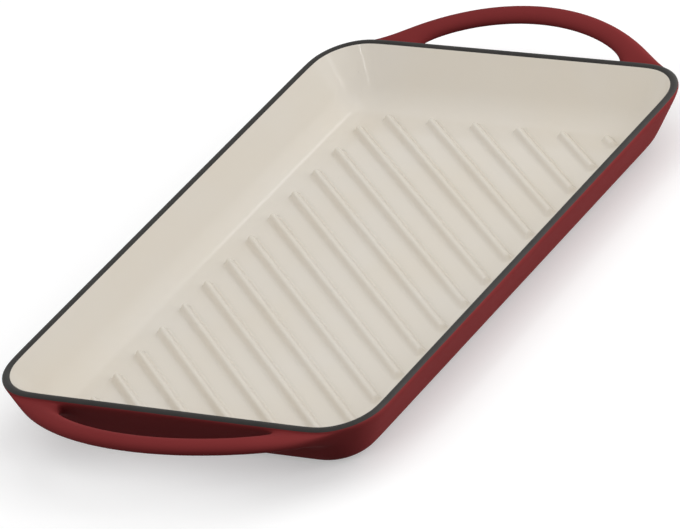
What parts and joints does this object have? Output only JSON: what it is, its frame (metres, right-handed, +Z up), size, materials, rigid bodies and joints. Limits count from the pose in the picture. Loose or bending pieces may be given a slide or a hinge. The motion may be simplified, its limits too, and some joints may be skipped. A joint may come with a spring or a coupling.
{
  "type": "enamelled cast iron griddle pan",
  "caption": "Shallow rectangular cast iron griddle pan with sloping walls, diagonal ribs on its cooking floor, a loop handle at each end, a cream interior, a black rim and a dark red exterior.",
  "frame": {"origin": "on the face that the pan stands on, under the middle of the tray", "axes": "+X along the pan, from handle to handle, +Y across it, +Z up out of the tray"},
  "size_m": [0.4396, 0.2394, 0.0419],
  "materials": {
    "iron": "matte",
    "cream_enamel": "satin",
    "red_enamel": "satin",
    "black_enamel": "matte",
    "base_coat": "satin"
  },
  "bodies": {
    "root": {"iron_casting": "iron", "interior_enamel": "cream_enamel", "exterior_enamel": "red_enamel", "rim_enamel": "black_enamel", "base_enamel": "base_coat"}
  },
  "joints": []
}
